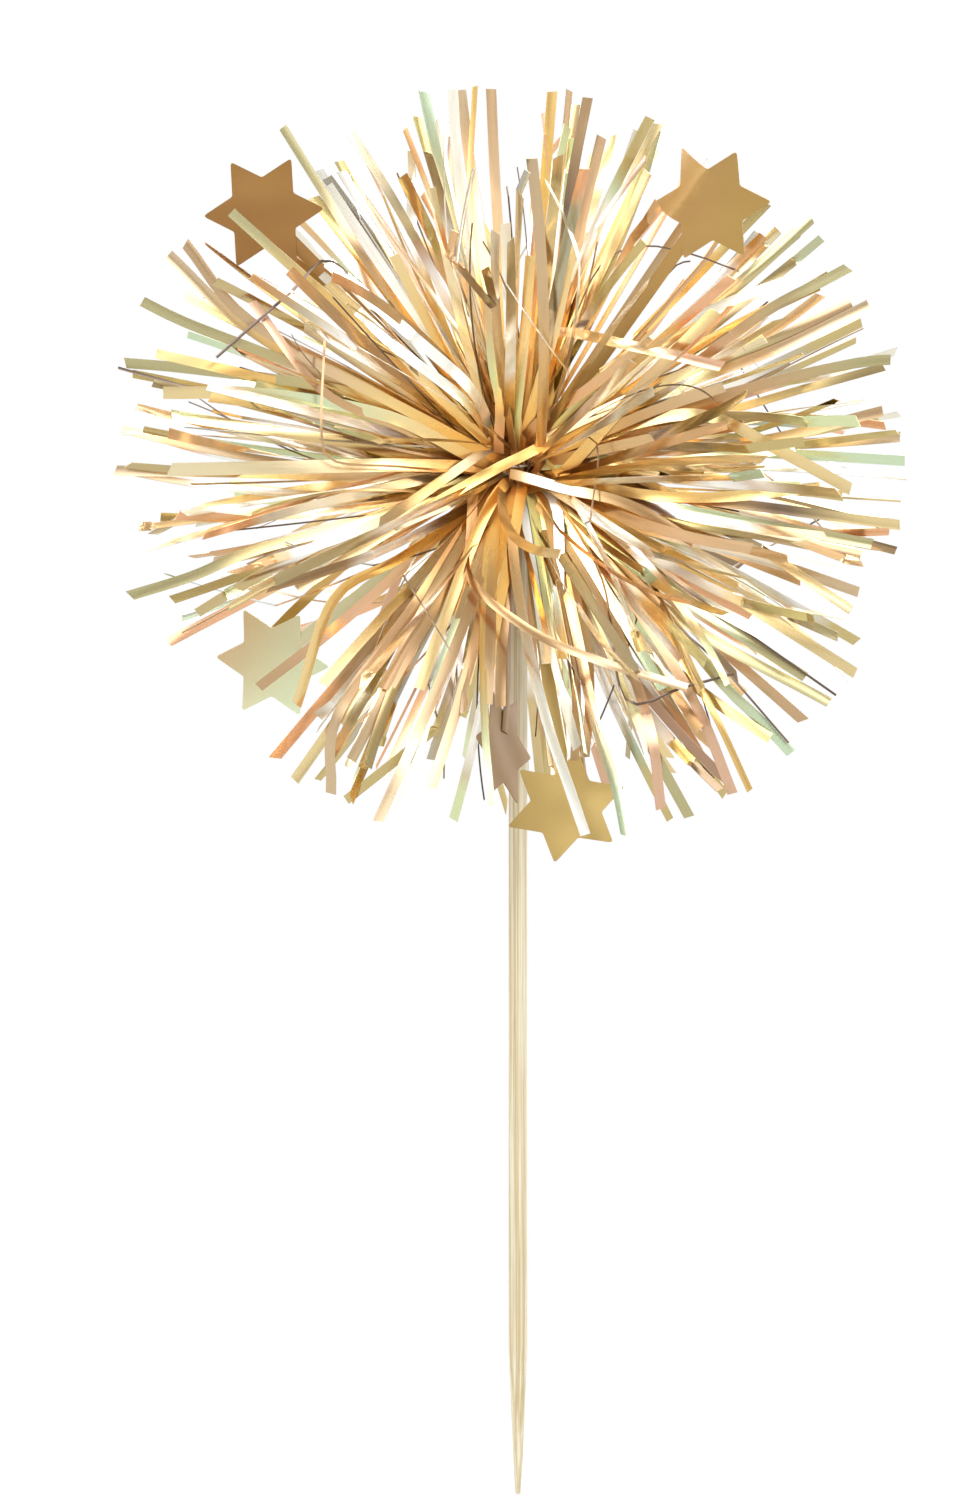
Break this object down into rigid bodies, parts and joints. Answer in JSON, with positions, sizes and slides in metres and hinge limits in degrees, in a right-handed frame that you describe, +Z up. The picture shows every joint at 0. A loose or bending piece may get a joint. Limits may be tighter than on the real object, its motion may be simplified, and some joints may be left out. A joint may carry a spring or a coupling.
{
  "type": "tinsel cupcake topper",
  "caption": "Round burst of foil strips with foil stars, wire-tied to the head of a sharpened wooden pick that is pushed into a cake.",
  "frame": {"origin": "on the axis of the pick at the cake line, 40 mm above its tip", "axes": "+Z up along the pick towards the burst, +X to the right of the picture, the picture looks along +Y"},
  "size_m": [0.0844, 0.0727, 0.1499],
  "materials": {
    "bamboo": "plain sanded bamboo",
    "wire": "bright thin wire",
    "inner_foil": "metallised film, copper and gold",
    "outer_foil": "metallised film, gold with copper, pale green and champagne",
    "star_foil": "metallised film, satin gold"
  },
  "bodies": {
    "topper": {"pick": "bamboo", "tie_wire": "wire", "tinsel_inner_1": "inner_foil", "tinsel_inner_2": "inner_foil", "tinsel_inner_3": "inner_foil", "tinsel_inner_4": "inner_foil", "tinsel_inner_5": "inner_foil", "tinsel_inner_6": "inner_foil", "tinsel_outer_1": "outer_foil", "tinsel_outer_2": "outer_foil", "tinsel_outer_3": "outer_foil", "tinsel_outer_4": "outer_foil", "tinsel_outer_5": "outer_foil", "tinsel_outer_6": "outer_foil", "tinsel_outer_7": "outer_foil", "tinsel_outer_8": "outer_foil", "tinsel_outer_9": "outer_foil", "tinsel_outer_10": "outer_foil", "tinsel_outer_11": "outer_foil", "tinsel_outer_12": "outer_foil", "tinsel_outer_13": "outer_foil", "tinsel_outer_14": "outer_foil", "tinsel_outer_15": "outer_foil", "tinsel_outer_16": "outer_foil", "tinsel_outer_17": "outer_foil", "tinsel_outer_18": "outer_foil", "tinsel_outer_19": "outer_foil", "tinsel_outer_20": "outer_foil"},
    "upper_left_star": {"star_upper_left": "star_foil"},
    "upper_right_star": {"star_upper_right": "star_foil"},
    "lower_left_star": {"star_lower_left": "star_foil"},
    "lower_front_star": {"star_lower_front": "star_foil"},
    "lower_pick_star": {"star_lower_pick": "star_foil"}
  },
  "joints": [
    {"name": "upper_left_nod", "type": "hinge", "parent": "topper", "child": "upper_left_star", "pos_m": [-0.00277, 0.00031, 0.07212], "axis": [-0.7144, 0, -0.6998], "range_deg": [-4, 4], "stiffness_Nm_per_rad": 0.00015},
    {"name": "upper_right_nod", "type": "hinge", "parent": "topper", "child": "upper_right_star", "pos_m": [0.00239, -0.0013, 0.07221], "axis": [-0.812, 0, 0.5837], "range_deg": [-4, 4], "stiffness_Nm_per_rad": 0.00015},
    {"name": "lower_left_nod", "type": "hinge", "parent": "topper", "child": "lower_left_star", "pos_m": [-0.00258, 0.00136, 0.06711], "axis": [0.6023, 0, -0.7982], "range_deg": [-4, 4], "stiffness_Nm_per_rad": 0.00015},
    {"name": "lower_front_nod", "type": "hinge", "parent": "topper", "child": "lower_front_star", "pos_m": [0.00053, -0.0017, 0.06632], "axis": [0.9909, 0, 0.1347], "range_deg": [-4, 4], "stiffness_Nm_per_rad": 0.00015},
    {"name": "lower_pick_nod", "type": "hinge", "parent": "topper", "child": "lower_pick_star", "pos_m": [-0.00028, -0.0016, 0.06607], "axis": [0.4418, 0.8587, -0.2597], "range_deg": [-4, 4], "stiffness_Nm_per_rad": 0.00015}
  ]
}
